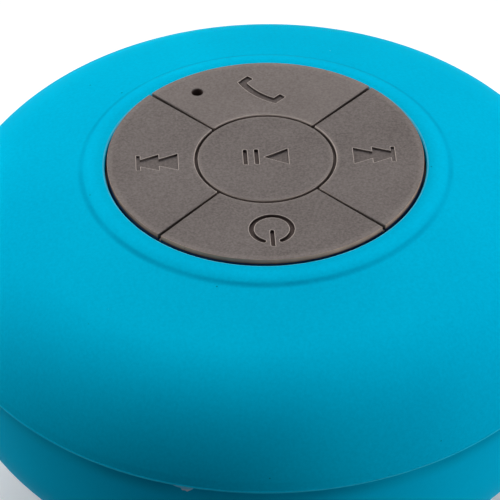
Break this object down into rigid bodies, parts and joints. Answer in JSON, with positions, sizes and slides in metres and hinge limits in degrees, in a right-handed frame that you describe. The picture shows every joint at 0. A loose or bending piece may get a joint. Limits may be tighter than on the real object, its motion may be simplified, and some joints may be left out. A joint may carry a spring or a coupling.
{
  "type": "shower speaker",
  "caption": "Round wireless shower speaker with a domed rubber cover, a ring of press keys round a middle key on top, a rounded base with a charge port, and a suction cup underneath.",
  "frame": {"origin": "centre of the suction rim's face, where the cup meets the wall or table", "axes": "+Z out of the wall through the middle of the keypad, -Y towards the power key, +Y towards the charge port"},
  "size_m": [0.086, 0.086, 0.055],
  "materials": {
    "cover_rubber": "matte cyan silicone rubber",
    "base_plastic": "matte cyan moulded plastic",
    "key_rubber": "matte taupe silicone rubber",
    "frame_plastic": "black moulded plastic",
    "switch_case": "black plastic with a tinned top",
    "circuit_board": "green solder mask",
    "chip_plastic": "black chip cases",
    "screw_steel": "zinc plated",
    "mic_can": "drawn can",
    "seal_rubber": "black rubber",
    "cell_pouch": "laminated foil pouch",
    "foam_tape": "white foam tape",
    "red_lead": "red lead cover",
    "black_lead": "black lead cover",
    "ribbon": "flat ribbon",
    "socket_steel": "folded tinned steel",
    "driver_steel": "plated steel",
    "magnet": "plated magnet",
    "cone_paper": "black pressed paper",
    "coil_copper": "lacquered copper wire",
    "spider_cloth": "resin stiffened cloth",
    "terminal_fibre": "brown fibre board",
    "mesh_cloth": "black waterproof mesh",
    "cup_vinyl": "translucent soft vinyl"
  },
  "bodies": {
    "housing": {"upper_sleeve": "cover_rubber", "plug_anchor": "cover_rubber", "base_shell": "base_plastic", "upper_frame": "frame_plastic", "switch_bodies": "switch_case", "main_board": "circuit_board", "charge_board": "circuit_board", "board_chips": "chip_plastic", "board_screws": "screw_steel", "charge_screws": "screw_steel", "driver_screws": "screw_steel", "case_screws": "screw_steel", "microphone": "mic_can", "microphone_boot": "seal_rubber", "driver_gasket": "seal_rubber", "driver_surround": "seal_rubber", "case_seal": "seal_rubber", "battery_cell": "cell_pouch", "battery_tape": "foam_tape", "battery_leads": "red_lead", "speaker_leads": "black_lead", "charge_ribbon": "ribbon", "charge_socket": "socket_steel", "driver_basket": "driver_steel", "driver_top_plate": "driver_steel", "driver_yoke": "driver_steel", "driver_magnet": "magnet", "driver_spider": "spider_cloth", "driver_terminal": "terminal_fibre", "acoustic_mesh": "mesh_cloth"},
    "power_button": {"power_key": "key_rubber", "power_plunger": "frame_plastic"},
    "call_button": {"call_key": "key_rubber", "call_plunger": "frame_plastic"},
    "play_button": {"play_key": "key_rubber", "play_plunger": "frame_plastic"},
    "previous_button": {"previous_key": "key_rubber", "previous_plunger": "frame_plastic"},
    "next_button": {"next_key": "key_rubber", "next_plunger": "frame_plastic"},
    "port_flap": {"port_plug": "cover_rubber"},
    "cup": {"suction_cup": "cup_vinyl"},
    "cone_set": {"driver_cone": "cone_paper", "dust_cap": "cone_paper", "voice_coil": "coil_copper"}
  },
  "joints": [
    {"name": "power_press", "type": "slide", "parent": "housing", "child": "power_button", "axis": [0, 0, -1], "range_m": [0, 0.0005], "stiffness_N_per_m": 2400},
    {"name": "call_press", "type": "slide", "parent": "housing", "child": "call_button", "axis": [0, 0, -1], "range_m": [0, 0.0005], "stiffness_N_per_m": 2400},
    {"name": "play_press", "type": "slide", "parent": "housing", "child": "play_button", "axis": [0, 0, -1], "range_m": [0, 0.0005], "stiffness_N_per_m": 2400},
    {"name": "previous_press", "type": "slide", "parent": "housing", "child": "previous_button", "axis": [0, 0, -1], "range_m": [0, 0.0005], "stiffness_N_per_m": 2400},
    {"name": "next_press", "type": "slide", "parent": "housing", "child": "next_button", "axis": [0, 0, -1], "range_m": [0, 0.0005], "stiffness_N_per_m": 2400},
    {"name": "port_flap_open", "type": "hinge", "parent": "housing", "child": "port_flap", "pos_m": [0.00715, 0.04165, 0.0267], "axis": [0, 0, -1], "range_deg": [0, 110]},
    {"name": "cup_pull", "type": "slide", "parent": "housing", "child": "cup", "axis": [0, 0, -1], "range_m": [0, 0.006]},
    {"name": "cone_stroke", "type": "slide", "parent": "housing", "child": "cone_set", "axis": [0, 0, -1], "range_m": [-0.0008, 0.0008], "stiffness_N_per_m": 1200, "deforming": ["driver_surround", "driver_spider"]}
  ]
}
